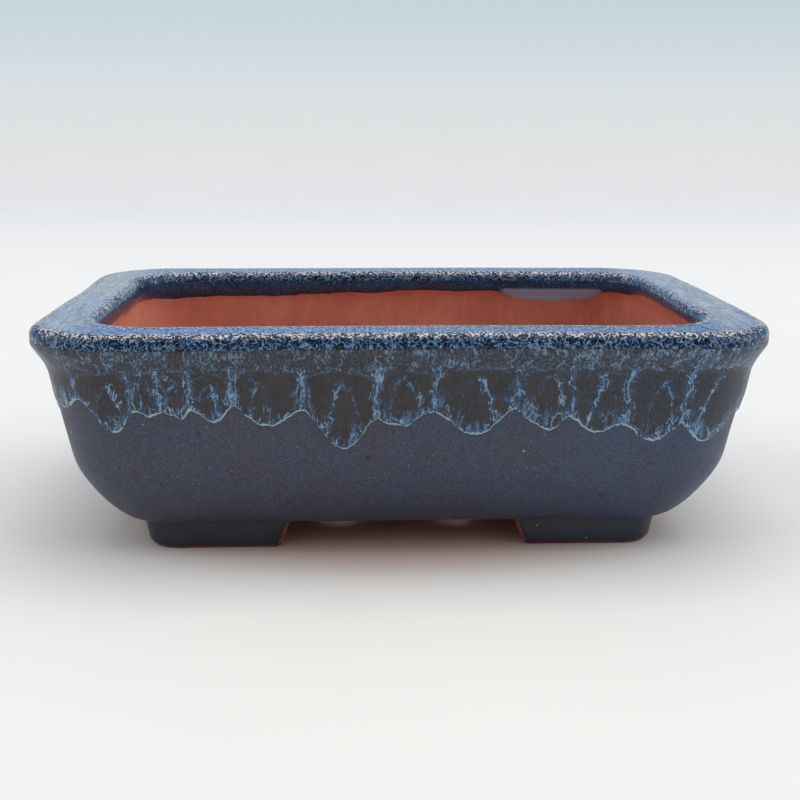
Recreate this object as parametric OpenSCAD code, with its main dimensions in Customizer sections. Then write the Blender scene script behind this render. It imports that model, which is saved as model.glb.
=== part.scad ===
// Rectangular bonsai pot: a red clay tray on four corner feet, with a rolled lip,
// a slate-blue satin coat and a darker glossy coat that has run down from the lip.
//
// Millimetres, +Z up. The origin is on the ground under the middle of the pot.
// The long sides face -Y (front) and +Y (back).

/* [Pot] */
// Length over the glazed lip
pot_length = 165; // [120:1:220]
// Width over the glazed lip
pot_width = 115; // [80:1:160]
// Height of the clay lip above the ground
lip_top = 52.5; // [40:0.5:70]
// Corner radius of the lip, seen from above
lip_corner = 20; // [10:1:30]
// How fast the corner radius shrinks as the walls draw in
corner_shrink = 0.45; // [0.2:0.05:0.9]

/* [Lip] */
// Distance from the outer to the inner face of the clay lip
lip_width = 11.7; // [8:0.1:16]
// Radius of the roll along both upper edges of the lip
lip_roll = 1.5; // [0.5:0.1:3]
// Height of the lip's upright outer face
lip_face = 0.8; // [0.4:0.1:3]
// Depth of the lip's upright inner face
lip_inner_face = 2.4; // [1:0.1:4]

/* [Walls] */
// How far the neck sits in from the clay lip's outer face
neck_inset = 3.2; // [1:0.1:6]
// Height of the neck, where the walls turn out to the lip
neck_height = 42; // [30:0.5:55]
// How far the foot of the walls sits in from the clay lip's outer face
base_inset = 17; // [10:0.2:26]
// How far the inner wall sits in from the clay lip's outer face
inner_inset = 10.8; // [7:0.1:14]

/* [Floor] */
// Thickness of the floor slab
floor_thickness = 5; // [4:0.5:8]
// How far the floor slab's edge sits in from the clay lip's outer face
slab_inset = 26; // [20:0.5:32]
// Radius of each drainage hole
drain_radius = 9; // [6:0.5:12]
// Distance between the centres of the two drainage holes
drain_spacing = 68; // [40:1:80]
// Radius of each hole for a tie wire
wire_radius = 2; // [1.5:0.1:3]
// Distance between the wire holes along the pot
wire_spacing_x = 28; // [16:1:40]
// Distance between the wire holes across the pot
wire_spacing_y = 40; // [20:1:50]

/* [Feet] */
// Height of the feet
foot_height = 6.6; // [4:0.2:12]
// Distance from the middle of the pot to a foot's end face, at its top
foot_end_x = 60; // [40:0.5:70]
// Distance from the middle of the pot to a foot's front face
foot_end_y = 38.8; // [20:0.2:50]
// Length of a foot along the pot, at its top
foot_long_leg = 34; // [15:0.5:45]
// Length of a foot across the pot, at its top
foot_short_leg = 24; // [12:0.5:35]
// Thickness of both legs of a foot
foot_leg_width = 11; // [6:0.5:16]
// Radius of a foot's outer corner
foot_corner = 6; // [2:0.5:12]
// How far the inner ends of a foot lean in towards the ground
foot_draft = 2.6; // [0:0.2:5]
// How far the end faces of the pair of feet lean in towards the ground
foot_end_draft = 1.4; // [0:0.2:5]

/* [Glaze] */
// Thickness of the satin coat on the body
base_coat = 0.4; // [0.2:0.1:0.8]
// Thickness of the second coat that has run over it
drip_coat = 0.5; // [0.2:0.1:1]
// Width of the bare clay line at the bottom of each foot
bare_line = 0.6; // [0.4:0.1:3]
// Usual distance between two runs of glaze
drip_pitch = 12.4; // [8:0.2:20]
// Usual height of the notches between two runs
drip_notch = 37; // [32:0.5:40]
// Usual drop from a notch to the tip of a run
drip_drop = 3.8; // [1:0.2:8]

/* [Hidden] */
corner_steps = 6;
full_coat = base_coat + drip_coat;
clay_inset = full_coat;
clay_lip_side = lip_top - lip_roll;
floor_top = foot_height + floor_thickness;
inner_face_inset = clay_inset + lip_width;
clay_colour = [0.56, 0.30, 0.24];
base_colour = [0.22, 0.25, 0.33];
drip_colour = [0.16, 0.19, 0.26];
rim_colour = [0.20, 0.29, 0.42];
foot_colour = [0.11, 0.13, 0.18];

// Runs along the front: [distance round the neck from the middle of the front, height],
// tip and notch by turns, from a tip near the left corner to a notch near the right one.
front_runs = [
    [-77, 35.3], [-71, 38.6], [-64, 31.8], [-58.5, 36.4], [-55.5, 35.4], [-52.5, 36],
    [-49, 34.3], [-46, 36.3], [-42, 34], [-37, 37.6], [-31.5, 32.5], [-22, 36],
    [-14, 27.1], [-6.5, 34.2], [-1.5, 31.9], [6, 35.7], [15, 30.2], [23.5, 35.9],
    [31.5, 31.1], [35.5, 34.5], [42.5, 30.5], [47.5, 33], [55, 28.7], [60.5, 32.5],
    [67.5, 28.1], [77, 34]
];

// ---- curves in the wall's section, as [distance in from the lip, height] ----

function bezier(a, b, c, d, steps) = [
    for (i = [0 : steps - 1])
        let (t = i / steps, s = 1 - t)
            s * s * s * a + 3 * s * s * t * b + 3 * s * t * t * c + t * t * t * d
];

function arc(centre, radius, from, to, steps) = [
    for (i = [0 : steps])
        let (angle = from + (to - from) * i / steps)
            centre + radius * [cos(angle), sin(angle)]
];

// Outer face of the wall, from its foot up to the neck.
neck = [clay_inset + neck_inset, neck_height];
belly = bezier(
    [clay_inset + base_inset, foot_height],
    [clay_inset + 7.1, foot_height + 7.6],
    [clay_inset + 5.3, foot_height + 21.4],
    neck, 13
);

// Hollow under the lip, from the neck out to the lip's outer face.
lip_low = [clay_inset, clay_lip_side - lip_face];
hollow = bezier(neck, neck + [-0.2, 2.8], lip_low + [0.9, -2.6], lip_low + [0.05, -0.9], 6);

// Lip: outer face, roll, top, roll and inner face.
lip_outer_face = [lip_low, lip_low + [0, lip_face / 2]];
outer_roll = arc([clay_inset + lip_roll, clay_lip_side], lip_roll, 180, 90, 4);
lip_middle = [[clay_inset + lip_width / 2, lip_top]];
inner_roll = arc([inner_face_inset - lip_roll, clay_lip_side], lip_roll, 90, 0, 4);
inner_band = [
    [inner_face_inset, clay_lip_side - lip_inner_face / 2],
    [inner_face_inset, clay_lip_side - lip_inner_face],
    [inner_face_inset - 0.3, clay_lip_side - lip_inner_face - 1]
];

// Bare inner wall, down to the top edge of the floor slab.
floor_edge = [clay_inset + slab_inset, floor_top];
inner_wall = bezier(
    [clay_inset + inner_inset, clay_lip_side - lip_inner_face - 3],
    [clay_inset + inner_inset + 0.2, floor_top + 10],
    [clay_inset + inner_inset + 4, floor_top + 0.6],
    floor_edge, 9
);

glazed_section = concat(
    belly, hollow, lip_outer_face, outer_roll, lip_middle, inner_roll, inner_band
);
neck_row = len(belly);
join_row = neck_row + len(hollow);
band_row = len(glazed_section) - len(inner_band) - 1;
last_row = len(glazed_section) - 1;

// Outward direction of the glazed section at row i.
function outward(i) =
    let (
        before = glazed_section[max(i - 1, 0)],
        after = glazed_section[min(i + 1, last_row)],
        along = (after - before) / norm(after - before)
    )
        [-along[1], along[0]];

function lifted(first, last, thickness) = [
    for (i = [first : last]) glazed_section[i] + thickness * outward(i)
];

function reversed(rows) = [for (i = [len(rows) - 1 : -1 : 0]) rows[i]];

// ---- the path round the pot, as columns of [corner, part of its arc, part of the side] ----

function columns(long_steps, short_steps) = [
    for (corner = [0 : 3])
        let (steps = corner % 2 == 0 ? long_steps : short_steps)
            for (i = [0 : corner_steps + steps - 1])
                i <= corner_steps
                    ? [corner, i / corner_steps, 0]
                    : [corner, 1, (i - corner_steps) / steps]
];

plain_columns = columns(1, 1);
fine_columns = columns(50, 30);

side_x = [1, -1, -1, 1];
side_y = [1, 1, -1, -1];

function corner_radius(inset) = lip_corner - corner_shrink * inset;

function corner_point(corner, part, inset) =
    let (
        radius = corner_radius(inset),
        angle = 90 * (corner + part)
    )
        [
            side_x[corner] * (pot_length / 2 - inset - radius) + radius * cos(angle),
            side_y[corner] * (pot_width / 2 - inset - radius) + radius * sin(angle)
        ];

function path_point(column, inset, height) =
    let (
        here = corner_point(column[0], column[1], inset),
        next = corner_point((column[0] + 1) % 4, 0, inset)
    )
        concat(here + (next - here) * column[2], [height]);

// ---- closed rings swept round the pot ----

function ring_faces(row_count, column_count) = [
    for (row = [0 : row_count - 1])
        for (column = [0 : column_count - 1])
            let (
                up = (row + 1) % row_count,
                on = (column + 1) % column_count,
                a = row * column_count + column,
                b = row * column_count + on,
                c = up * column_count + on,
                d = up * column_count + column
            )
                each [[a, c, b], [a, d, c]]
];

module ring(section, path) {
    points = [
        for (row = section)
            for (column = path)
                path_point(column, row[0], row[1])
    ];
    polyhedron(points = points, faces = ring_faces(len(section), len(path)));
}

// ---- lower edge of the run glaze ----

// Distance round the neck from the middle of the front, positive to the right.
neck_arc = corner_radius(neck[0]) * PI / 2;
long_run = pot_length - 2 * (neck[0] + corner_radius(neck[0]));
short_run = pot_width - 2 * (neck[0] + corner_radius(neck[0]));
way_round = 2 * (long_run + short_run) + 4 * neck_arc;
run_before = [0, short_run, short_run + long_run, 2 * short_run + long_run];

function walk(column) =
    let (
        turn = (column[0] + 1) % 4,
        side = turn % 2 == 0 ? short_run : long_run,
        start = long_run / 2 + turn * neck_arc + run_before[turn],
        distance = start + neck_arc * column[1] + side * column[2],
        first = front_runs[0][0]
    )
        distance >= way_round + first ? distance - way_round : distance;

// The other sides carry on from the front with runs a little longer or shorter than the last.
front_end = front_runs[len(front_runs) - 1][0];
gap_round = way_round + front_runs[0][0] - front_end;
half_runs = 2 * floor(gap_round / drip_pitch) + 1;
other_runs = [
    for (i = [1 : half_runs])
        [
            front_end + gap_round * i / half_runs + (i < half_runs ? sin(71 * i) : 0),
            i % 2 == 1 && i < half_runs
                ? drip_notch - drip_drop * (1 + 0.35 * sin(137.5 * i))
                : i < half_runs ? drip_notch + 0.8 * sin(99 * i) : front_runs[0][1]
        ]
];
runs = concat(front_runs, other_runs);

// Between a notch and a tip the edge leaves the notch steeply and rounds the tip.
function between(a, b, distance) =
    let (
        part = (distance - a[0]) / (b[0] - a[0]),
        from_notch = a[1] > b[1] ? part : 1 - part,
        notch = max(a[1], b[1]),
        tip = min(a[1], b[1])
    )
        notch + (tip - notch) * sin(90 * from_notch);

function edge_height(column) =
    let (
        distance = walk(column),
        found = [
            for (i = [0 : len(runs) - 2])
                if (distance >= runs[i][0] && distance <= runs[i + 1][0])
                    between(runs[i], runs[i + 1], distance)
        ]
    )
        found[0];

// Insets of a coat's outer face, looked up by height.
function face_table(thickness) = [
    for (row = lifted(0, join_row, thickness)) [row[1], row[0]]
];

// Heights down one column of the run glaze: two below the neck, then the section's own rows.
function run_heights(table, low) = concat(
    [low, (low + table[neck_row][0]) / 2],
    [for (i = [neck_row : join_row]) table[i][0]]
);

function run_face(thickness, rise) =
    let (table = face_table(thickness))
        [
            for (i = [0 : join_row - neck_row + 2])
                [
                    for (column = fine_columns)
                        let (height = run_heights(table, edge_height(column) + rise)[i])
                            path_point(column, lookup(height, table), height)
                ]
        ];

// ---- clay pieces ----

module wall_shell() {
    underside = [[clay_inset + slab_inset, foot_height]];
    color(clay_colour)
        ring(concat(glazed_section, inner_wall, [floor_edge], underside), plain_columns);
}

module floor_slab() {
    outline = [
        for (column = plain_columns)
            corner_point(column[0], column[1], clay_inset + slab_inset)
    ];
    color(clay_colour)
        translate([0, 0, foot_height])
            difference() {
                linear_extrude(floor_thickness) polygon(outline);
                for (side = [-1, 1])
                    translate([side * drain_spacing / 2, 0, -1])
                        cylinder(h = floor_thickness + 2, r = drain_radius, $fn = 96);
                for (x = [-1, 1], y = [-1, 1])
                    translate([x * wire_spacing_x / 2, y * wire_spacing_y / 2, -1])
                        cylinder(h = floor_thickness + 2, r = wire_radius, $fn = 48);
            }
}

// Plan of the ground inside a foot's outer faces, with its rounded corner.
module foot_plan(grow) {
    x = foot_end_x + grow;
    y = foot_end_y + grow;
    radius = foot_corner + grow;
    square([x - radius, y]);
    square([x, y - radius]);
    translate([x - radius, y - radius]) circle(radius, $fn = 64);
}

// One leg of a foot, running along +X up to the end, with its inner end leaning in.
module foot_leg(length, end, width) {
    rotate([90, 0, 0])
        linear_extrude(width)
            polygon([
                [end - length + foot_draft, 0], [end, 0],
                [end, foot_height], [end - length, foot_height]
            ]);
}

// An L-shaped foot in the +X +Y corner. grow moves its outer faces out.
module foot_block(grow) {
    end_x = foot_end_x + grow;
    end_y = foot_end_y + grow;
    intersection() {
        linear_extrude(foot_height) foot_plan(grow);
        translate([0, end_y, 0])
            rotate([90, 0, 0])
                linear_extrude(end_y)
                    polygon([
                        [0, 0], [end_x - foot_end_draft, 0],
                        [end_x, foot_height], [0, foot_height]
                    ]);
        union() {
            translate([0, end_y, 0])
                foot_leg(foot_long_leg + grow, end_x, foot_leg_width + grow);
            translate([end_x, 0, 0])
                mirror([1, -1, 0])
                    foot_leg(foot_short_leg + grow, end_y, foot_leg_width + grow);
        }
    }
}

module to_corner(side, end) {
    mirror([side < 0 ? 1 : 0, 0, 0])
        mirror([0, end < 0 ? 1 : 0, 0])
            children();
}

module clay_foot(side, end) {
    color(clay_colour) to_corner(side, end) foot_block(0);
}

module foot_front_left() clay_foot(-1, -1);
module foot_front_right() clay_foot(1, -1);
module foot_back_left() clay_foot(-1, 1);
module foot_back_right() clay_foot(1, 1);

// ---- glaze coats ----

// A coat between the clay and the given thickness, from one row of the section to another.
module coat(first, last, thickness) {
    ring(
        concat(lifted(first, last, thickness), reversed(lifted(first, last, 0))),
        plain_columns
    );
}

module base_glaze() {
    color(base_colour) coat(0, join_row, base_coat);
}

module rim_glaze() {
    color(rim_colour) coat(join_row, band_row, full_coat);
}

module inner_glaze() {
    color(drip_colour) coat(band_row, last_row, full_coat);
}

module drip_glaze() {
    rows = concat(run_face(full_coat, drip_coat / 2), reversed(run_face(base_coat, 0)));
    color(drip_colour)
        polyhedron(
            points = [for (row = rows) each row],
            faces = ring_faces(len(rows), len(fine_columns))
        );
}

// The outer faces of a foot, down to the bare line above the ground.
module foot_coat(side, end) {
    color(foot_colour)
        to_corner(side, end)
            difference() {
                foot_block(base_coat);
                foot_block(0);
                translate([0, 0, -1])
                    cube([foot_end_x + 2, foot_end_y + 2, bare_line + 1]);
            }
}

module foot_glaze_front_left() foot_coat(-1, -1);
module foot_glaze_front_right() foot_coat(1, -1);
module foot_glaze_back_left() foot_coat(-1, 1);
module foot_glaze_back_right() foot_coat(1, 1);

wall_shell();
floor_slab();
foot_front_left();
foot_front_right();
foot_back_left();
foot_back_right();
base_glaze();
drip_glaze();
rim_glaze();
inner_glaze();
foot_glaze_front_left();
foot_glaze_front_right();
foot_glaze_back_left();
foot_glaze_back_right();
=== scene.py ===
"""Looks of the bonsai pot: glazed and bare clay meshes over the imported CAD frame, in metres."""

import math

import bpy
import numpy as np
from mathutils import Matrix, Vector
from mathutils.geometry import delaunay_2d_cdt


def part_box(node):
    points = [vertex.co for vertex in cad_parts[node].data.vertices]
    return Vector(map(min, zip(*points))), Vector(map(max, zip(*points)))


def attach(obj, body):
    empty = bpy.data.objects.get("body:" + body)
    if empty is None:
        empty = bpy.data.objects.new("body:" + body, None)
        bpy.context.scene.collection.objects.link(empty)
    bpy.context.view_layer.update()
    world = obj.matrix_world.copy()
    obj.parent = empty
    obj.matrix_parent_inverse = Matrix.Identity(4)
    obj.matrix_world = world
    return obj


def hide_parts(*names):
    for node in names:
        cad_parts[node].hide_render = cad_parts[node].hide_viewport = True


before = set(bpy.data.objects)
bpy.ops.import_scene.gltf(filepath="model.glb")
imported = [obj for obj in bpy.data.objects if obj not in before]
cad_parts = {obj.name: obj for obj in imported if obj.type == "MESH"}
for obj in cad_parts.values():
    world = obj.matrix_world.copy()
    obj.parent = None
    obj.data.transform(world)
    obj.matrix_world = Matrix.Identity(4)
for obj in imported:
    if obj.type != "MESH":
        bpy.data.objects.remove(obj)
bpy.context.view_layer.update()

MM = 0.001

# ---- driving sizes, in millimetres: read from the frame, or the same values as the part's ----

HALF_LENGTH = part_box("rim_glaze")[1].x / MM
HALF_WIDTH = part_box("rim_glaze")[1].y / MM
CLAY_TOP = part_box("wall_shell")[1].z / MM
FLOOR_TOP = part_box("floor_slab")[1].z / MM
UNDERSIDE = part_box("floor_slab")[0].z / MM
SLAB_INSET = HALF_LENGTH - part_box("floor_slab")[1].x / MM
FULL_COAT = HALF_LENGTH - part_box("wall_shell")[1].x / MM
BASE_COAT = 0.4
DRIP_COAT = FULL_COAT - BASE_COAT

LIP_CORNER = 20.0
CORNER_SHRINK = 0.45
LIP_WIDTH = 11.7
LIP_ROLL = 1.5
LIP_FACE = 0.8
LIP_INNER_FACE = 2.4
NECK_INSET = 3.2
NECK_HEIGHT = 42.0
BASE_INSET = 17.0
INNER_INSET = 10.8
DRAIN_RADIUS = 9.0
DRAIN_X = 34.0
FOOT_LEG = 11.0
FOOT_CORNER = 6.0
FOOT_DRAFT = 2.6
FOOT_END_DRAFT = 1.4
FOOT_INNER_X = -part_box("foot_front_left")[1].x / MM
FOOT_INNER_Y = -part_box("foot_front_left")[1].y / MM
BARE_LINE = 0.6
WIRE_RADIUS = 2.0
WIRE_X = 14.0
WIRE_Y = 20.0


# ---- noise: seeded, smooth and repeatable ----


def lattice(ix, iy, seed):
    """A fixed pseudo-random number from 0 to 1 for each whole-number cell."""
    value = np.sin(ix * 127.1 + iy * 311.7 + seed * 74.7) * 43758.5453
    return value - np.floor(value)


def noise(x, y, seed=0):
    """Smooth noise from 0 to 1 with features one unit across."""
    ix, iy = np.floor(x), np.floor(y)
    fx, fy = x - ix, y - iy
    fx = fx * fx * (3 - 2 * fx)
    fy = fy * fy * (3 - 2 * fy)
    low = lattice(ix, iy, seed) * (1 - fx) + lattice(ix + 1, iy, seed) * fx
    high = lattice(ix, iy + 1, seed) * (1 - fx) + lattice(ix + 1, iy + 1, seed) * fx
    return low * (1 - fy) + high * fy


def cloud(x, y, seed=0, octaves=4):
    """Several octaves of noise, from 0 to 1."""
    total, weight, scale = 0.0, 0.0, 1.0
    for octave in range(octaves):
        share = 0.5**octave
        total = total + share * noise(x * scale, y * scale, seed + octave)
        weight += share
        scale *= 2.03
    return total / weight


def ramp(value, low, high):
    """0 below low, 1 above high and a smooth step between."""
    part = np.clip((value - low) / (high - low), 0, 1)
    return part * part * (3 - 2 * part)


# ---- section of the wall: [distance in from the glazed lip, height] ----


def bezier(a, b, c, d, steps):
    """A cubic curve from a to d, pulled towards b and c."""
    t = np.linspace(0, 1, steps + 1)[:, None]
    s = 1 - t
    a, b, c, d = map(np.array, (a, b, c, d))
    return s**3 * a + 3 * s * s * t * b + 3 * s * t * t * c + t**3 * d


def arc(centre, radius, start, end, steps):
    """An arc between two angles in degrees."""
    angle = np.radians(np.linspace(start, end, steps + 1))
    return np.array(centre) + radius * np.stack([np.cos(angle), np.sin(angle)], 1)


LIP_SIDE = CLAY_TOP - LIP_ROLL
INNER_FACE = FULL_COAT + LIP_WIDTH
NECK = np.array([FULL_COAT + NECK_INSET, NECK_HEIGHT])
LIP_LOW = np.array([FULL_COAT, LIP_SIDE - LIP_FACE])

belly = bezier(
    (FULL_COAT + BASE_INSET, UNDERSIDE),
    (FULL_COAT + 7.1, UNDERSIDE + 7.6),
    (FULL_COAT + 5.3, UNDERSIDE + 21.4),
    NECK,
    80,
)
hollow = bezier(NECK, NECK + (-0.2, 2.8), LIP_LOW + (0.9, -2.6), LIP_LOW + (0.05, -0.9), 24)
outer_roll = arc((FULL_COAT + LIP_ROLL, LIP_SIDE), LIP_ROLL, 180, 90, 12)
inner_roll = arc((INNER_FACE - LIP_ROLL, LIP_SIDE), LIP_ROLL, 90, 0, 12)
inner_band = bezier(
    (INNER_FACE, LIP_SIDE),
    (INNER_FACE, LIP_SIDE - 1.6),
    (INNER_FACE, LIP_SIDE - LIP_INNER_FACE),
    (INNER_FACE - 0.9, LIP_SIDE - LIP_INNER_FACE - 2.2),
    10,
)
inner_wall = bezier(
    (INNER_FACE - 0.9, LIP_SIDE - LIP_INNER_FACE - 2.2),
    (FULL_COAT + INNER_INSET + 0.2, FLOOR_TOP + 10),
    (FULL_COAT + INNER_INSET + 4, FLOOR_TOP + 0.6),
    (SLAB_INSET, FLOOR_TOP),
    60,
)


def along(section, spacing):
    """The section resampled at an even spacing."""
    steps = np.linalg.norm(np.diff(section, axis=0), axis=1)
    travelled = np.concatenate([[0], np.cumsum(steps)])
    count = max(2, int(round(travelled[-1] / spacing)))
    at = np.linspace(0, travelled[-1], count + 1)
    return np.stack([np.interp(at, travelled, section[:, k]) for k in (0, 1)], 1)


def outward(section):
    """Unit normals that point out of the clay, to the left of the section's direction."""
    direction = np.gradient(section, axis=0)
    direction /= np.linalg.norm(direction, axis=1)[:, None]
    return np.stack([-direction[:, 1], direction[:, 0]], 1)


# ---- the path round the pot ----


def corner_radius(inset):
    """The corners get tighter as the walls draw in."""
    return LIP_CORNER - CORNER_SHRINK * inset


NECK_RADIUS = corner_radius(NECK[0])
NECK_ARC = NECK_RADIUS * math.pi / 2
LONG_RUN = 2 * (HALF_LENGTH - NECK[0] - NECK_RADIUS)
SHORT_RUN = 2 * (HALF_WIDTH - NECK[0] - NECK_RADIUS)
WAY_ROUND = 2 * (LONG_RUN + SHORT_RUN) + 4 * NECK_ARC

# Each quarter of the way starts with a corner and goes on along a side.
QUARTERS = (
    # sign of x, sign of y, first angle, length of the side after the corner
    (1, -1, -90, SHORT_RUN),
    (1, 1, 0, LONG_RUN),
    (-1, 1, 90, SHORT_RUN),
    (-1, -1, 180, LONG_RUN),
)


def path_xy(way, inset):
    """Points at a distance round the neck from the middle of the front, positive to the right."""
    way, inset = np.broadcast_arrays(np.asarray(way, float), np.asarray(inset, float))
    radius = corner_radius(inset)
    centre_x = HALF_LENGTH - inset - radius
    centre_y = HALF_WIDTH - inset - radius
    left = np.mod(way - LONG_RUN / 2, WAY_ROUND)
    x, y = np.zeros_like(radius), np.zeros_like(radius)
    for number, (sign_x, sign_y, angle, side) in enumerate(QUARTERS):
        next_x, next_y = QUARTERS[(number + 1) % 4][:2]
        in_arc = (left >= 0) & (left < NECK_ARC)
        turn = np.radians(angle + 90 * left / NECK_ARC)
        x = np.where(in_arc, sign_x * centre_x + radius * np.cos(turn), x)
        y = np.where(in_arc, sign_y * centre_y + radius * np.sin(turn), y)
        left = left - NECK_ARC
        on_side = (left >= 0) & (left < side)
        part = left / side
        end = math.radians(angle + 90)
        start_x = sign_x * centre_x + radius * math.cos(end)
        start_y = sign_y * centre_y + radius * math.sin(end)
        end_x = next_x * centre_x + radius * math.cos(end)
        end_y = next_y * centre_y + radius * math.sin(end)
        x = np.where(on_side, start_x + (end_x - start_x) * part, x)
        y = np.where(on_side, start_y + (end_y - start_y) * part, y)
        left = left - side
    return x, y


def hand_made(points):
    """Slight unevenness of a pressed and hand-finished pot, none of it at the floor or feet."""
    x, y, z = points[..., 0], points[..., 1], points[..., 2]
    amount = ramp(z, 12, 44)
    shift_x = 0.22 * np.sin(y / 17 + 0.6) + 0.12 * np.sin(y / 6.3 + z / 9)
    shift_y = 0.20 * np.sin(x / 21 + 1.9) + 0.11 * np.sin(x / 7.7 + z / 11 + 0.5)
    shift_z = 0.16 * np.sin(x / 26 + 0.4) + 0.12 * np.sin(y / 15 + x / 33)
    # Both ends are a little fuller low in the belly. Under the lip the left one is tighter, and the
    # right one is fuller.
    left_end = -ramp(-x, 40, 75) * ramp(z, 9, 14)
    right_end = ramp(x, 40, 75) * ramp(z, 9, 14)
    low = 0.7 * np.exp(-(((z - 20) / 5) ** 2))
    high = np.exp(-(((z - 40) / 6) ** 2))
    left_shift = left_end * (low - 0.25 * high)
    right_shift = right_end * (low + 0.6 * high + 0.35 * ramp(z, 40, 46))
    shift = amount[..., None] * np.stack([shift_x, shift_y, shift_z], -1)
    shift[..., 0] += left_shift + right_shift
    return points + shift


def ring_points(ways, insets, heights):
    """A grid of points, rows of the section by columns round the pot."""
    ways, insets, heights = np.broadcast_arrays(ways[None, :], insets, heights)
    x, y = path_xy(ways, insets)
    return hand_made(np.stack([x, y, heights], -1))


# ---- meshes ----


def new_piece(name, vertices, faces, material, nodes, attributes=None, normals=None):
    """A mesh object that stands for the CAD nodes. vertices are in millimetres."""
    mesh = bpy.data.meshes.new(name)
    mesh.vertices.add(len(vertices))
    mesh.vertices.foreach_set("co", (np.asarray(vertices, np.float32) * MM).ravel())
    sizes = np.array([len(face) for face in faces], np.int32)
    mesh.loops.add(int(sizes.sum()))
    mesh.loops.foreach_set("vertex_index", np.concatenate(faces).astype(np.int32))
    mesh.polygons.add(len(faces))
    starts = np.concatenate([[0], np.cumsum(sizes)[:-1]]).astype(np.int32)
    mesh.polygons.foreach_set("loop_start", starts)
    mesh.update(calc_edges=True)
    mesh.validate()
    mesh.shade_smooth()
    for key, values in (attributes or {}).items():
        layer = mesh.attributes.new(key, "FLOAT", "POINT")
        layer.data.foreach_set("value", np.asarray(values, np.float32).ravel())
    if normals is not None:
        mesh.normals_split_custom_set_from_vertices(normals.tolist())
    mesh.materials.append(material)
    piece = bpy.data.objects.new(name, mesh)
    bpy.context.scene.collection.objects.link(piece)
    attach(piece, "root")
    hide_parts(*nodes)


def grid_quads(rows, columns, wrap_rows, wrap_columns):
    """Faces of a grid whose normals point out when rows go up and columns go anticlockwise."""
    last_row = rows if wrap_rows else rows - 1
    last_column = columns if wrap_columns else columns - 1
    row, column = np.meshgrid(np.arange(last_row), np.arange(last_column), indexing="ij")
    up, on = (row + 1) % rows, (column + 1) % columns
    corners = (row * columns + column, row * columns + on, up * columns + on, up * columns + column)
    return np.stack(corners, -1).reshape(-1, 4)


def grid_normals(points, wrap_columns):
    """Unit normals of a grid that is closed from its last row to its first."""
    padded = np.concatenate([points[-1:], points, points[:1]])
    along_rows = (padded[2:] - padded[:-2]) / 2
    if wrap_columns:
        padded = np.concatenate([points[:, -1:], points, points[:, :1]], 1)
        along_columns = (padded[:, 2:] - padded[:, :-2]) / 2
    else:
        along_columns = np.gradient(points, axis=1)
    normals = np.cross(along_columns, along_rows)
    return normals / np.maximum(np.linalg.norm(normals, axis=-1), 1e-9)[..., None]


def sweep(name, points, material, nodes, attributes=None, closed=True, normals=None):
    """A closed skin over a grid: its rows always close up, its columns do or are capped."""
    rows, columns = points.shape[:2]
    faces = list(grid_quads(rows, columns, True, closed))
    if not closed:
        faces.append(np.arange(rows) * columns)
        faces.append((np.arange(rows) * columns + columns - 1)[::-1])
    if normals is None:
        normals = grid_normals(points, closed)
    flat = {key: np.broadcast_to(v, (rows, columns)).ravel() for key, v in (attributes or {}).items()}
    vertices, normals = points.reshape(-1, 3), normals.reshape(-1, 3)
    new_piece(name, vertices, faces, material, nodes, flat, normals)


def sweep_sides(name, points, bounds, material, nodes, attributes=None):
    """One coat as four pieces that meet at the middle of each corner."""
    normals = grid_normals(points, True)
    for side, first, last in bounds:
        columns = np.arange(first, last + 1) % points.shape[1]
        part = {key: v[:, columns] for key, v in (attributes or {}).items()}
        sweep(
            f"{name}_{side}", points[:, columns], material, nodes, part,
            closed=False, normals=normals[:, columns],
        )


def ways_round(spacing):
    """Column places round the pot, and the first and last column of each side."""
    front = LONG_RUN + NECK_ARC
    side = SHORT_RUN + NECK_ARC
    ways, bounds, start = [], [], -front / 2
    for name, length in (("front", front), ("right", side), ("back", front), ("left", side)):
        count = int(round(length / spacing))
        bounds.append((name, len(ways), len(ways) + count))
        ways.extend(start + length * np.arange(count) / count)
        start += length
    return np.array(ways), bounds


# ---- the outer wall below the lip, by height ----

OUTER_WALL = along(np.concatenate([belly, hollow[1:], [LIP_LOW]]), 0.25)
OUTER_OUT = outward(OUTER_WALL)


def wall_face(height, lift):
    """Inset and height of a surface that stands a distance off the clay's outer wall."""
    inset = np.interp(height, OUTER_WALL[:, 1], OUTER_WALL[:, 0])
    out_x = np.interp(height, OUTER_WALL[:, 1], OUTER_OUT[:, 0])
    out_z = np.interp(height, OUTER_WALL[:, 1], OUTER_OUT[:, 1])
    return inset + lift * out_x, height + lift * out_z


# ---- lower edge of the run glaze ----

# Along the front: [distance round the neck from the middle, height], tip and notch by turns.
FRONT_RUNS = (
    (-77, 35.3), (-71, 38.6), (-64, 31.8), (-58.5, 36.4), (-55.5, 35.4), (-52.5, 36),
    (-49, 34.3), (-46, 36.3), (-42, 34), (-37, 37.6), (-31.5, 32.5), (-22, 36),
    (-14, 27.1), (-6.5, 34.2), (-1.5, 31.9), (6, 35.7), (15, 30.2), (23.5, 35.9),
    (31.5, 31.1), (35.5, 34.5), (42.5, 30.5), (47.5, 33), (55, 28.7), (60.5, 32.5),
    (67.5, 28.1), (77, 34),
)
DRIP_PITCH = 12.4
DRIP_NOTCH = 37.0
DRIP_DROP = 3.8

# Heights at which the veins between runs fade out, the haze sets in and the arches have their tops.
VEIN_FADE = (45.0, 48.0)
HAZE_START = (44.0, 46.4)
RUN_HEAD = 45.4
INNER_ARCH_TOP = 42.8


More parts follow.
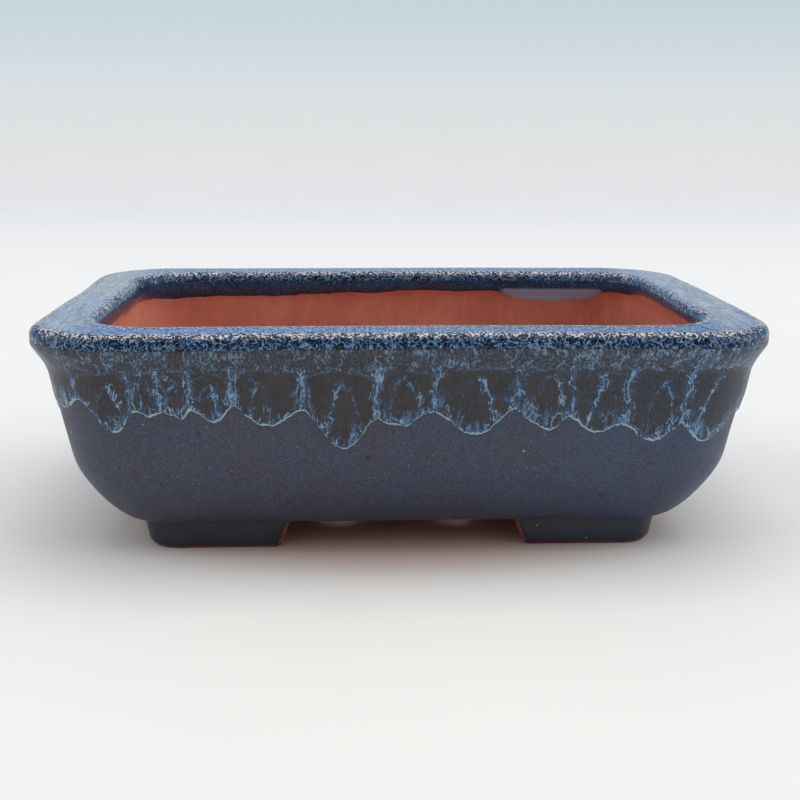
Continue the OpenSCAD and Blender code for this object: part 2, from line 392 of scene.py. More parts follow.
def all_runs():
    """The front's runs, then those of the other sides, back to the first."""
    runs = list(FRONT_RUNS)
    gap = WAY_ROUND + FRONT_RUNS[0][0] - FRONT_RUNS[-1][0]
    count = 2 * int(gap // DRIP_PITCH) + 1
    for i in range(1, count):
        place = FRONT_RUNS[-1][0] + gap * i / count + math.sin(math.radians(71 * i))
        tip = DRIP_NOTCH - DRIP_DROP * (1 + 0.35 * math.sin(math.radians(137.5 * i)))
        notch = DRIP_NOTCH + 0.8 * math.sin(math.radians(99 * i))
        runs.append((place, tip if i % 2 else notch))
    runs.append((FRONT_RUNS[0][0] + WAY_ROUND, FRONT_RUNS[0][1]))
    return np.array(runs)


RUNS = all_runs()


def run_place(way):
    """Where places round the pot fall in the runs.

    Gives the edge's height, the place in the run (-1 and 1 at its notches, 0 at its tip), the run's
    half-width and its number.
    """
    way = np.mod(way - RUNS[0, 0], WAY_ROUND) + RUNS[0, 0]
    step = np.clip(np.searchsorted(RUNS[:, 0], way, side="right") - 1, 0, len(RUNS) - 2)
    start, end = RUNS[step, 0], RUNS[step + 1, 0]
    before, after = RUNS[step, 1], RUNS[step + 1, 1]
    part = (way - start) / (end - start)
    from_notch = np.where(before > after, part, 1 - part)
    notch, tip = np.maximum(before, after), np.minimum(before, after)
    shape = 0.5 * np.sin(from_notch * math.pi / 2) + 0.25 * (1 - np.cos(from_notch * math.pi))
    edge = notch + (tip - notch) * shape
    place = (1 - from_notch) * np.where(before > after, -1, 1)
    return edge, place, end - start, (step + 1) // 2


def ragged_edge(way):
    """Height of the run glaze's lower edge, with small irregularities on top of the runs."""
    coarse = cloud(way / 3.2, way * 0, 71, 2) - 0.5
    fine = cloud(way / 0.9, way * 0, 73, 3) - 0.5
    return run_place(way)[0] + 1.2 * coarse + 0.9 * fine


def run_pattern(way, height):
    """Glow, lines, liveliness, pale lower edge and neck haze of the run glaze, each from 0 to 1."""
    above = height - ragged_edge(way)
    number = run_place(way)[3]
    wander = cloud(way / 1.7, height / 2.6, 3) - 0.5
    lean = cloud(number * 5.3, height / 5.0, 9) - 0.5
    bend = 1.8 * wander + 1.6 * lean
    bent_height = height + 1.6 * (cloud(way / 2.1, height / 1.7, 5) - 0.5)
    _, place, half_wide, _ = run_place(way + bend)
    patchy = cloud(way / 2.3, height / 3.1, 11)

    # Between two runs a feathery vein climbs from the notch and fades under the lip.
    from_notch = (1 - np.abs(place)) * half_wide
    wide = 0.6 + 1.5 * cloud(way / 2.0, height / 2.2, 33)
    climb = np.exp(-((from_notch / wide) ** 2)) * ramp(bent_height, *VEIN_FADE[::-1])
    climb *= 0.45 + 0.55 * ramp(cloud(way / 1.9, height / 2.7, 35), 0.34, 0.6)
    spine = np.exp(-(((from_notch - 0.15) / 0.2) ** 2)) * climb

    # The veins on both sides of a run arch over its head.
    head = RUN_HEAD - 2.8 * np.abs(place) ** 3 + 1.4 * (lattice(number, 2.0, 1) - 0.5)
    arch = np.exp(-(((bent_height - head) / 0.45) ** 2)) * ramp(patchy, 0.34, 0.54)

    # Most runs hold a narrower arch of their own, with one leg stronger than the other.
    part = 0.36 + 0.2 * lattice(number, 4.0, 1)
    top = INNER_ARCH_TOP + 2.4 * (lattice(number, 6.0, 1) - 0.5)
    steep = 5.0 + 5.0 * lattice(number, 7.0, 1)
    shifted = place + 0.3 * (lattice(number, 5.0, 1) - 0.5)
    curve = top - steep * (shifted / part) ** 2
    slope = 2 * steep * np.abs(shifted) / (part**2 * half_wide)
    away = np.abs(bent_height - curve) / np.sqrt(1 + slope**2)
    leg = 0.72 + 0.28 * np.sign(shifted) * np.sign(lattice(number, 3.0, 1) - 0.5)
    leg *= ramp(above, 0.0, 1.5) * (0.5 + 0.5 * ramp(cloud(way / 1.6, height / 1.9, 15), 0.36, 0.52))
    halo = np.exp(-((away / 1.0) ** 2)) * leg
    inner_arch = np.exp(-((away / 0.2) ** 2)) * leg

    # The lower edge is feathery, and streaks are drawn down towards it.
    feather_wide = 0.7 + 2.2 * cloud(way / 2.4, way * 0, 23)
    feather = np.exp(-((above / feather_wide) ** 2))
    streak_field = cloud((way + 0.5 * bend) / 0.6, height / 6.5, 19, 3)
    streaks = ramp(streak_field, 0.51, 0.67) * ramp(above, 8.5, 1.2) * ramp(patchy, 0.28, 0.52)

    # Lace fills the places near veins and edges and leaves the heads of the runs dark.
    low = 0.45 * ramp(above, 8.0, 2.5) * ramp(patchy, 0.42, 0.62)
    lively = np.maximum.reduce([climb, feather, 0.8 * halo, low])
    glow = np.maximum.reduce([climb, 0.9 * feather, 0.75 * halo, 0.5 * low, streaks])
    glow = glow * (0.4 + 0.6 * patchy)
    lines = np.maximum.reduce([inner_arch, 0.45 * arch, 0.6 * streaks, 0.9 * spine])

    breaks = ramp(cloud(way / 2.6, way * 0, 29), 0.3, 0.55)
    thick = 0.24 + 0.22 * ramp(cloud(way / 1.4, way * 0, 31), 0.45, 0.7)
    line = np.exp(-(((above - 0.25) / thick) ** 2)) * (0.5 + 0.5 * breaks)

    # Under the lip the veins dissolve into a haze round small dark upright cells.
    cells = np.abs(cloud(way / 2.1, height / 3.4, 41, 3) - 0.5)
    between = np.exp(-((cells / 0.075) ** 2))
    denser_to_right = 1.0 + 0.25 * ramp(way, -20, 60)
    haze = ramp(bent_height, *HAZE_START) * (0.42 + 0.5 * between) * denser_to_right
    return {"glow": glow, "lines": lines, "lively": lively, "edge_line": line, "haze": haze}


# ---- materials ----


def colour(red, green, blue):
    """A linear colour with alpha from screen values of 0 to 255."""
    linear = []
    for value in (red, green, blue):
        part = value / 255
        linear.append(part / 12.92 if value < 11 else ((part + 0.055) / 1.055) ** 2.4)
    return (*linear, 1.0)


class Look:
    """A node material, with short calls for the few kinds of node that it needs."""

    def __init__(self, name, **surface):
        self.material = bpy.data.materials.new(name)
        self.material.use_nodes = True
        self.nodes = self.material.node_tree.nodes
        self.links = self.material.node_tree.links
        self.shader = self.nodes["Principled BSDF"]
        self.place = self.nodes.new("ShaderNodeTexCoord").outputs["Object"]
        for key, value in surface.items():
            self.shader.inputs[key.replace("_", " ")].default_value = value

    def put(self, socket, value):
        """Link a node's output to the socket, or set the socket to a plain value."""
        if isinstance(value, bpy.types.NodeSocket):
            self.links.new(value, socket)
        else:
            socket.default_value = value

    def scaled(self, x, y, z):
        """Object coordinates, stretched along the axes whose factor is below 1."""
        node = self.nodes.new("ShaderNodeMapping")
        self.put(node.inputs["Vector"], self.place)
        node.inputs["Scale"].default_value = (x, y, z)
        return node.outputs["Vector"]

    def noise(self, size, detail, place=None, distortion=0.0):
        """Noise from 0 to 1 whose features are about size millimetres across."""
        node = self.nodes.new("ShaderNodeTexNoise")
        self.put(node.inputs["Vector"], place or self.place)
        node.inputs["Scale"].default_value = 1 / (size * MM)
        node.inputs["Detail"].default_value = detail
        node.inputs["Distortion"].default_value = distortion
        return node.outputs["Fac"]

    def grain(self, size, detail, place=None, spread=0.14):
        """Noise stretched to its full contrast. Less spread makes it harder."""
        return self.step(self.noise(size, detail, place), 0.5 - spread, 0.5 + spread)

    def axis(self, name):
        """The coordinate along X, Y or Z, in metres."""
        node = self.nodes.new("ShaderNodeSeparateXYZ")
        self.put(node.inputs[0], self.place)
        return node.outputs[name]

    def lace(self, size, thin, detail, place):
        """1 along thin wandering lines round cells of about size millimetres, 0 between them."""
        field = self.noise(size, detail, place, distortion=0.4)
        away = self.maths("ABSOLUTE", self.maths("SUBTRACT", field, 0.5), 0.0)
        return self.step(away, thin, thin * 0.2)

    def dots(self, size, radius):
        """1 in round dots about size millimetres apart, 0 between them."""
        node = self.nodes.new("ShaderNodeTexVoronoi")
        self.put(node.inputs["Vector"], self.place)
        node.inputs["Scale"].default_value = 1 / (size * MM)
        return self.step(node.outputs["Distance"], radius, radius * 0.5)

    def step(self, value, low, high, bottom=0.0, top=1.0):
        """A smooth step from bottom at low to top at high, which may lie below low."""
        node = self.nodes.new("ShaderNodeMapRange")
        node.interpolation_type = "SMOOTHSTEP"
        self.put(node.inputs["Value"], value)
        flip = low > high
        node.inputs["From Min"].default_value = min(low, high)
        node.inputs["From Max"].default_value = max(low, high)
        node.inputs["To Min"].default_value = top if flip else bottom
        node.inputs["To Max"].default_value = bottom if flip else top
        return node.outputs["Result"]

    def mix(self, factor, first, second):
        """The first colour where the factor is 0, the second where it's 1."""
        node = self.nodes.new("ShaderNodeMix")
        node.data_type = "RGBA"
        self.put(node.inputs[0], factor)
        self.put(node.inputs[6], first)
        self.put(node.inputs[7], second)
        return node.outputs[2]

    def maths(self, operation, first, second):
        """One Math node."""
        node = self.nodes.new("ShaderNodeMath")
        node.operation = operation
        self.put(node.inputs[0], first)
        self.put(node.inputs[1], second)
        return node.outputs["Value"]

    def plus(self, first, second):
        return self.maths("ADD", first, second)

    def times(self, first, second):
        return self.maths("MULTIPLY", first, second)

    def attribute(self, name):
        """A vertex attribute of the mesh that wears the material."""
        node = self.nodes.new("ShaderNodeAttribute")
        node.attribute_name = name
        return node.outputs["Fac"]

    def bump(self, height, distance):
        """A bump of that many millimetres."""
        node = self.nodes.new("ShaderNodeBump")
        node.inputs["Distance"].default_value = distance * MM
        self.put(node.inputs["Height"], height)
        return node.outputs["Normal"]

    def finish(self, base, roughness, normal):
        """Fill the three linked sockets, and hand over the material."""
        self.put(self.shader.inputs["Base Color"], base)
        self.put(self.shader.inputs["Roughness"], roughness)
        self.put(self.shader.inputs["Normal"], normal)
        return self.material


def bare_clay():
    """Fired red clay: matt, blotchy, with fine grog, a drier pale bloom, and painted light and shade:
    paler left, darker right and underneath.
    """
    look = Look("red_clay", Specular_IOR_Level=0.2)
    broad = look.grain(22, 3)
    patch = look.noise(5, 4)
    fine = look.noise(0.6, 3)
    wiped = look.noise(3.5, 3, place=look.scaled(1, 1, 0.3))
    base = look.mix(broad, colour(194, 120, 102), colour(206, 132, 113))
    # Painted light: the clay is paler towards the left.
    base = look.mix(look.step(look.axis("X"), -0.02, -0.08, top=0.5), base, colour(226, 152, 132))
    # Painted shade: the clay is darker towards the right.
    base = look.mix(look.step(look.axis("X"), 0.0, 0.07, top=0.5), base, colour(170, 100, 88))
    base = look.mix(look.step(patch, 0.45, 0.7, top=0.35), base, colour(176, 104, 86))
    base = look.mix(look.step(wiped, 0.5, 0.7, top=0.3), base, colour(216, 146, 124))
    base = look.mix(look.step(fine, 0.5, 0.75, top=0.3), base, colour(222, 162, 140))
    base = look.mix(look.dots(3.4, 0.09), base, colour(140, 82, 68))
    # Painted shade: darker on the underside, the feet and the low bare edges.
    base = look.mix(look.step(look.axis("Z"), 0.0105, 0.0075, top=0.8), base, colour(100, 52, 44))
    relief = look.plus(look.times(fine, 0.6), look.noise(0.22, 2))
    return look.finish(base, look.step(patch, 0.3, 0.7, 0.78, 0.92), look.bump(relief, 0.12))


def satin_slate():
    """The body's satin slate-blue glaze, with fine speckle, faint clouds, a few dark pits, painted
    light to the right and painted shade near the base.
    """
    look = Look("slate_blue_glaze", Specular_IOR_Level=0.35)
    broad = look.grain(20, 3)
    cloudy = look.noise(8, 4, distortion=0.6)
    mottle = look.grain(1.6, 4)
    fine = look.grain(0.34, 2)
    grit = look.noise(0.3, 2)
    # Painted light: the glaze turns lighter and bluer towards the right.
    painted_light_to_right = look.step(look.axis("X"), -0.03, 0.08, top=0.6)
    base = look.mix(broad, colour(66, 66, 80), colour(60, 65, 84))
    base = look.mix(painted_light_to_right, base, colour(60, 77, 107))
    base = look.mix(look.step(cloudy, 0.5, 0.68, top=0.35), base, colour(74, 62, 67))
    base = look.mix(look.step(cloudy, 0.46, 0.32, top=0.3), base, colour(52, 72, 108))
    base = look.mix(look.step(mottle, 0.5, 1.0, top=0.12), base, colour(84, 96, 118))
    base = look.mix(look.step(mottle, 0.5, 0.0, top=0.14), base, colour(48, 46, 56))
    base = look.mix(look.step(fine, 0.6, 1.0, top=0.3), base, colour(92, 108, 134))
    base = look.mix(look.step(fine, 0.4, 0.0, top=0.25), base, colour(40, 40, 50))
    # Painted shade: darker near the base.
    base = look.mix(look.step(look.axis("Z"), 0.021, 0.009, top=0.22), base, colour(38, 36, 44))
    base = look.mix(look.dots(2.0, 0.09), base, colour(112, 132, 154))
    base = look.mix(look.dots(11.0, 0.03), base, colour(160, 172, 180))
    base = look.mix(look.times(look.dots(9.0, 0.08), 0.7), base, colour(38, 38, 50))
    relief = look.plus(look.times(fine, 0.25), grit)
    return look.finish(base, look.step(cloudy, 0.3, 0.7, 0.4, 0.5), look.bump(relief, 0.03))


def run_glaze():
    """Charcoal-brown runs laced with light blue crystals, with painted light towards the right."""
    look = Look("run_glaze", Specular_IOR_Level=0.3)
    patch = look.noise(3.5, 3)
    tall = look.scaled(1, 1, 0.42)
    fine = look.grain(0.4, 3)
    hair = look.grain(0.45, 3, place=tall)
    grit = look.grain(0.3, 2)
    # Painted light: the runs turn lighter and bluer towards the right.
    painted_light_to_right = look.step(look.axis("X"), 0.0, 0.07, top=0.5)
    base = look.mix(look.step(patch, 0.35, 0.65), colour(52, 49, 51), colour(60, 55, 56))
    base = look.mix(painted_light_to_right, base, colour(52, 60, 76))
    base = look.mix(look.step(fine, 0.7, 1.0, top=0.2), base, colour(74, 82, 92))
    base = look.mix(look.step(fine, 0.3, 0.0, top=0.2), base, colour(40, 38, 40))
    haze = look.plus(look.attribute("haze"), look.times(hair, 0.75))
    haze = look.plus(haze, look.times(grit, 0.4))
    base = look.mix(look.step(haze, 0.85, 1.75, top=0.8), base, colour(80, 104, 132))
    base = look.mix(look.step(haze, 1.45, 2.0, top=0.7), base, colour(132, 158, 182))
    loose = look.maths("SUBTRACT", hair, 0.5)
    glow = look.plus(look.attribute("glow"), look.times(loose, 0.8))
    base = look.mix(look.step(glow, 0.2, 1.0, top=0.75), base, colour(62, 96, 142))
    lively = look.attribute("lively")
    coarse = look.times(look.lace(2.4, 0.026, 3, tall), look.step(lively, 0.1, 0.5))
    thin = look.times(look.lace(1.0, 0.036, 2, tall), look.step(lively, 0.3, 0.9, top=0.6))
    lines = look.maths("MAXIMUM", look.maths("MAXIMUM", coarse, thin), look.attribute("lines"))
    lines = look.plus(lines, look.times(look.maths("SUBTRACT", grit, 0.5), 0.35))
    base = look.mix(look.step(lines, 0.2, 0.7, top=0.7), base, colour(84, 120, 160))
    base = look.mix(look.step(lines, 0.55, 1.05, top=0.85), base, colour(148, 180, 204))
    line = look.plus(look.attribute("edge_line"), look.times(loose, 0.35))
    base = look.mix(look.step(line, 0.3, 0.7, top=0.95), base, colour(164, 192, 198))
    relief = look.plus(fine, lines)
    return look.finish(base, look.step(patch, 0.3, 0.7, 0.3, 0.4), look.bump(relief, 0.03))


def lip_glaze():
    """Glossy navy-black glaze on the lip, crowded with pale squiggles on the rolls, where it thins
    and as a painted highlight.
    """
    look = Look("rim_glaze", Specular_IOR_Level=0.16, Coat_Weight=0.16, Coat_Roughness=0.06)
    speck = look.grain(0.52, 2, spread=0.12)
    squiggle = look.lace(1.35, 0.05, 2, look.place)
    streak = look.grain(0.9, 3, place=look.scaled(1, 0.14, 1), spread=0.1)
    dash = look.grain(0.55, 2, place=look.scaled(1, 0.3, 1), spread=0.12)
    flake = look.grain(0.8, 3)
    patch = look.grain(3.0, 3)
    band = look.grain(6, 2, place=look.scaled(1, 0.15, 1), spread=0.1)
    from_middle = look.maths("ABSOLUTE", look.axis("X"), 0)
    # Painted glare: the tops of the short sides are painted pale.
    on_side = look.step(from_middle, 0.064, 0.074)
    # Painted reflection: the top of the lip is paler towards the left.
    painted_reflection_to_left = look.step(look.axis("X"), 0.02, -0.07, top=0.65)
    top, roll = look.attribute("lip_top"), look.attribute("lip_roll")

    deep = look.mix(patch, colour(4, 5, 10), colour(10, 20, 40))
    deep = look.mix(look.step(speck, 0.6, 0.9, top=0.9), deep, colour(44, 84, 136))
    base = look.mix(look.times(squiggle, 0.75), deep, colour(120, 152, 184))

    above = look.mix(patch, colour(14, 52, 114), colour(34, 80, 144))
    above = look.mix(painted_reflection_to_left, above, colour(108, 146, 196))
    above = look.mix(look.step(flake, 0.55, 0.9, top=0.7), above, colour(116, 158, 214))
    above = look.mix(look.times(squiggle, 0.3), above, colour(190, 214, 240))
    above = look.mix(look.step(dash, 0.6, 1.0, top=0.45), above, colour(180, 210, 240))
    above = look.mix(look.step(dash, 0.5, 0.0, top=0.7), above, colour(14, 46, 100))
    above = look.mix(look.step(speck, 0.3, 0.0, top=0.9), above, colour(8, 20, 50))
    # Colours of the painted glare on the short sides' tops, in long bands.
    pale = look.mix(band, colour(120, 142, 158), colour(160, 166, 152))
    pale = look.mix(look.times(streak, 0.6), pale, colour(196, 206, 222))
    pale = look.mix(look.step(flake, 0.3, 0.0, top=0.6), pale, colour(70, 104, 146))
    above = look.mix(look.times(on_side, 0.8), above, pale)
    base = look.mix(top, base, above)

    # Pale squiggles and specks crowd on the rolls, where the glaze breaks white, and also stand there
    # for a painted highlight along the rolls.
    crowd = look.plus(look.times(speck, 0.5), look.times(squiggle, 0.5))
    crowd = look.times(crowd, look.plus(look.times(roll, 0.68), 0.32))
    crowd = look.plus(crowd, look.times(patch, 0.1))
    white_break_and_highlight = look.mix(patch, colour(196, 210, 228), colour(212, 206, 212))
    base = look.mix(look.step(crowd, 0.33, 0.56, top=0.95), base, white_break_and_highlight)
    dark = look.times(look.step(speck, 0.5, 0.2), look.step(roll, 0.0, 0.6, top=0.75))
    base = look.mix(dark, base, colour(8, 8, 12))
    relief = look.plus(look.times(speck, 0.4), patch)
    return look.finish(base, look.step(flake, 0.0, 1.0, 0.1, 0.34), look.bump(relief, 0.06))


def inner_band_glaze():
    """Dark navy glaze on the inside of the lip, thinning to lilac-grey where it ran."""
    look = Look("inner_glaze", Coat_Weight=0.3, Coat_Roughness=0.1, Specular_IOR_Level=0.3)
    speck = look.noise(0.4, 3)
    patch = look.noise(4, 3)
    base = look.mix(look.step(patch, 0.35, 0.65), colour(12, 50, 86), colour(22, 68, 108))
    base = look.mix(look.step(speck, 0.58, 0.7, top=0.6), base, colour(110, 146, 180))
    thin = look.plus(look.attribute("thin"), look.maths("SUBTRACT", speck, 0.5))
    base = look.mix(look.step(thin, 0.0, 1.0, top=0.9), base, colour(156, 186, 224))
    return look.finish(base, 0.2, look.bump(speck, 0.04))


def foot_glaze():
    """Thick, very dark navy glaze on the feet, bluer lower down, with a few bright specks and painted
    light towards the right.
    """
    look = Look("foot_glaze", Coat_Weight=0.2, Coat_Roughness=0.15, Specular_IOR_Level=0.35)
    speck = look.grain(0.45, 3)
    patch = look.grain(4, 3)
    base = look.mix(patch, colour(29, 30, 40), colour(36, 38, 49))
    # Painted light: the feet turn lighter and bluer towards the right.
    base = look.mix(look.step(look.axis("X"), 0.0, 0.03, top=0.35), base, colour(52, 56, 72))
    base = look.mix(look.step(look.axis("Z"), 0.0035, 0.001, top=0.6), base, colour(32, 42, 64))
    base = look.mix(look.step(speck, 0.6, 1.0, top=0.3), base, colour(56, 64, 80))
    base = look.mix(look.dots(5.5, 0.05), base, colour(130, 146, 160))
    return look.finish(base, 0.34, look.bump(look.plus(speck, patch), 0.04))


CLAY = bare_clay()
SLATE = satin_slate()
RUN = run_glaze()
LIP = lip_glaze()
INNER = inner_band_glaze()
FOOT = foot_glaze()


# ---- clay walls, with the bare inside and underside ----


def build_walls():
    """The clay ring: up the outside, over the lip and down the inside. Its coats hide the outside."""
    ways, _ = ways_round(0.9)
    edge_radius = 0.7
    foot_edge = arc(
        (FULL_COAT + BASE_INSET + 0.2, UNDERSIDE + edge_radius), edge_radius, 270, 200, 6
    )
    under_coats = np.concatenate([belly[2:], hollow[1:], outer_roll, inner_roll, inner_band[1:]])
    hidden = along(under_coats, 1.6)
    shown = along(inner_wall, 0.7)
    underside = np.linspace((SLAB_INSET, UNDERSIDE), (FULL_COAT + BASE_INSET + 1.2, UNDERSIDE), 6)
    section = np.concatenate([foot_edge, hidden, shown[1:], underside])
    inset, height = section[:, :1], section[:, 1:]
    inside = (inset > FULL_COAT + INNER_INSET - 1) & (height > UNDERSIDE + 1)
    pressed = 0.5 * (cloud(ways[None, :] / 9, height / 7, 51) - 0.5) * inside
    points = ring_points(ways, inset + pressed, height)
    sweep("wall_shell_clay", points, CLAY, ["wall_shell"])


# ---- glaze coats ----


def build_base_glaze():
    """The slate coat, from a wavy edge at the underside up to the lip."""
    ways, bounds = ways_round(0.7)
    x, y = path_xy(ways, FULL_COAT + BASE_INSET)
    off_foot_x = ramp(FOOT_INNER_X - np.abs(x), -1, 1.5)
    off_foot_y = ramp(FOOT_INNER_Y - np.abs(y), -1, 1.5)
    off_foot = np.maximum(off_foot_x, off_foot_y)
    wavy = 0.35 + 0.45 * (cloud(ways / 6, ways * 0, 61) - 0.5)
    bottom = UNDERSIDE + 0.02 + wavy * off_foot
    part = np.concatenate([[0, 0.1, 0.25, 0.5, 0.9], np.linspace(1.6, 43.4, 60)])[:, None]
    height = bottom + part * (LIP_LOW[1] - bottom) / part[-1]
    thickness = BASE_COAT * (1 - np.exp(-part / 0.3)) - 0.05 * (part == 0)
    pooled = 0.12 * (cloud(ways[None, :] / 14, height / 9, 63) - 0.5)
    outer = wall_face(height, thickness + pooled)
    inner_height = np.linspace(LIP_LOW[1], UNDERSIDE + 0.9, 26)[:, None] + 0 * bottom
    inner = wall_face(inner_height, -0.1)
    points = np.concatenate([ring_points(ways, *outer), ring_points(ways, *inner)])
    sweep_sides("base_glaze", points, bounds, SLATE, ["base_glaze"])


def build_run_glaze():
    """The second coat: thick, with a beaded lower edge, and raised a little at its crystals."""
    ways, bounds = ways_round(0.2)
    edge = ragged_edge(ways)
    near = np.array([0, 0.04, 0.1, 0.2, 0.33, 0.5, 0.7, 0.95, 1.25, 1.55])[:, None]
    part = np.append(np.linspace(0, 1, 74)[1:-1], (0.998, 1))[:, None]
    height = np.concatenate([edge + near, edge + near[-1] + part * (LIP_LOW[1] - edge - near[-1])])
    above = height - edge
    pattern = run_pattern(np.broadcast_to(ways, height.shape), height)
    bead = 0.12 * np.exp(-(((above - 0.7) / 0.6) ** 2))
    fade = ramp(LIP_LOW[1] - height, 0, 2)
    raised = (bead + 0.04 * pattern["glow"] + 0.04 * pattern["lines"]) * fade
    thickness = DRIP_COAT * (1 - np.exp(-above / 0.9)) + raised - 0.1 * (above == 0)
    outer = wall_face(height, BASE_COAT + thickness)
    inner_part = np.linspace(1, 0, 16)[:, None]
    inner_height = edge + 0.3 + inner_part * (LIP_LOW[1] - edge - 0.3)
    inner = wall_face(inner_height, BASE_COAT - 0.15)
    points = np.concatenate([ring_points(ways, *outer), ring_points(ways, *inner)])
    blank = np.zeros(inner_height.shape)
    attributes = {key: np.concatenate([values, blank]) for key, values in pattern.items()}
    sweep_sides("drip_glaze", points, bounds, RUN, ["drip_glaze"], attributes)


def build_lip_glaze():
    """The coat on the lip, from its lower outer edge over both rolls."""
    ways, bounds = ways_round(0.5)
    section = along(np.concatenate([[LIP_LOW], outer_roll, inner_roll]), 0.3)
    travelled = 0.3 * np.arange(len(section))
    # A very short first and last step keep the shading of the two edges even.
    short = 0.03
    last = len(section) - 1
    section = np.insert(section, (1, last), (LIP_LOW + (0, short), section[-1] + (0, short)), axis=0)
    travelled = np.insert(travelled, (1, last), (short, travelled[-1] - short))
    out = outward(section)
    lifted = section + FULL_COAT * out
    inner = along(section - 0.1 * out, 1.2)[::-1]
    loop = np.concatenate([lifted, inner])
    points = ring_points(ways, loop[:, :1], loop[:, 1:])
    blank = np.zeros(len(inner))
    # The outer roll starts 0.8 mm up the section, and the inner one is its mirror image.
    from_end = np.minimum(travelled, travelled[-1] + LIP_FACE - travelled)
    facing_up = np.concatenate([ramp(from_end, 2.4, 3.4), blank])[:, None]
    on_roll = np.concatenate([ramp(from_end, 1.6, 2.4) * ramp(from_end, 4.0, 2.9), blank])[:, None]
    attributes = {
        "lip_top": np.broadcast_to(facing_up, points.shape[:2]),
        "lip_roll": np.broadcast_to(on_roll, points.shape[:2]),
    }
    sweep_sides("rim_glaze", points, bounds, LIP, ["rim_glaze"], attributes)


def build_inner_glaze():
    """The band below the inner roll, brushed on unevenly, with one long run at the back."""
    ways, _ = ways_round(0.5)
    # Distance to the right of the middle of the back.
    across = WAY_ROUND / 2 - ways
    wavy = cloud(ways / 9, ways * 0, 81) - 0.5
    run = ramp(across, 31, 44) * ramp(across, 72, 62) * (0.85 + 0.3 * cloud(ways / 7, ways * 0, 83))
    # The band is narrower at the right end, and wider at the left of the back.
    narrower = 1.2 * ramp(across, 84, 96) * ramp(across, 165, 150)
    wider = 1.7 * ramp(across, 20, -50) * ramp(across, -130, -70)
    low = LIP_SIDE - 3.0 + 1.4 * wavy + narrower - wider - 3.0 * run
    section = along(np.concatenate([inner_band, inner_wall[1:16]]), 0.2)
    out = outward(section)
    part = np.insert(np.linspace(0, 1, 26), 1, 0.01)[:, None]
    height = LIP_SIDE + part * (low - LIP_SIDE)
    inset = np.interp(height, section[::-1, 1], section[::-1, 0])
    out_x = np.interp(height, section[::-1, 1], out[::-1, 0])
    thickness = FULL_COAT * (1 - part**4) - 0.05 * (part == 1)
    outer = ring_points(ways, inset + out_x * thickness, height)
    inner = ring_points(ways, (inset - 0.15 * out_x)[::-5], height[::-5])
    points = np.concatenate([outer, inner])
    # The long run at the back turned milky below the height where the others end.
    milky = ramp(LIP_SIDE - height, 1.8, 3.2) * ramp(run, 0.1, 0.5)
    attributes = {"thin": np.concatenate([milky, np.zeros(inner.shape[:2])])}
    sweep("inner_glaze_band", points, INNER, ["inner_glaze"], attributes)


# ---- floor slab, with its round holes ----

HOLES = [(s * DRAIN_X, 0.0, DRAIN_RADIUS) for s in (-1, 1)]
HOLES += [(sx * WIRE_X, sy * WIRE_Y, WIRE_RADIUS) for sx in (-1, 1) for sy in (-1, 1)]


def circle(x, y, radius, count):
    """Points evenly round a circle."""
    turn = np.linspace(0, 2 * math.pi, count, endpoint=False)
    return np.stack([x + radius * np.cos(turn), y + radius * np.sin(turn)], 1)


def build_floor():
    """Two faces with rounded hole rims, joined by the hole walls and the slab's edge."""
    rim = 0.8
    edge = np.stack(path_xy(np.linspace(0, WAY_ROUND, 260, endpoint=False), SLAB_INSET), 1)
    loops = [edge]
    for x, y, radius in HOLES:
        count = 72 if radius > 4 else 32
        for step in (0, 0.1, 0.3, 0.55, rim):
            loops.append(circle(x, y, radius + step, count))
    grid_x, grid_y = np.meshgrid(np.arange(-54, 54.1, 2.0), np.arange(-29, 29.1, 2.0))
    grid = np.stack([grid_x.ravel(), grid_y.ravel()], 1)
    clear = np.ones(len(grid), bool)
    for x, y, radius in HOLES:
        clear &= np.hypot(grid[:, 0] - x, grid[:, 1] - y) > radius + rim + 0.6
    clear &= (np.abs(grid[:, 0]) < 53) | (np.abs(grid[:, 1]) < 24)
    points = np.concatenate(loops + [grid[clear]])
    edges, start = [], 0
    for loop in loops:
        index = np.arange(len(loop)) + start
        edges.extend(zip(index.tolist(), np.roll(index, -1).tolist()))
        start += len(loop)
    flat, _, triangles, *_ = delaunay_2d_cdt(points.tolist(), edges, [], 1, 1e-5)
    flat = np.array(flat)
    triangles = np.array(triangles)
    middle = flat[triangles].mean(1)
    keep = np.ones(len(triangles), bool)
    for x, y, radius in HOLES:
        keep &= np.hypot(middle[:, 0] - x, middle[:, 1] - y) > radius - 0.01
    triangles = triangles[keep]
    drop = np.zeros(len(flat))
    for x, y, radius in HOLES:
        away = np.clip(np.hypot(flat[:, 0] - x, flat[:, 1] - y) - radius, 0, rim)
        drop = np.maximum(drop, rim - np.sqrt(rim**2 - (rim - away) ** 2))
    top = np.column_stack([flat, FLOOR_TOP - drop])
    bottom = np.column_stack([flat, UNDERSIDE + drop])
    count = len(flat)
    faces = list(triangles) + list(triangles[:, ::-1] + count)
    # A side that only one triangle uses lies on the rim or in a hole, where the faces join.
    directed = np.concatenate([triangles[:, [0, 1]], triangles[:, [1, 2]], triangles[:, [2, 0]]])
    sides = np.sort(directed, 1)
    _, first, uses = np.unique(sides, axis=0, return_index=True, return_counts=True)
    for a, b in directed[first[uses == 1]]:
        faces.append(np.array([b, a, a + count, b + count]))
    vertices = np.concatenate([top, bottom])
    new_piece("floor_slab_clay", vertices, faces, CLAY, ["floor_slab"])


# ---- feet ----

ROUND_STEPS = 8
COAT_COLUMNS = 110


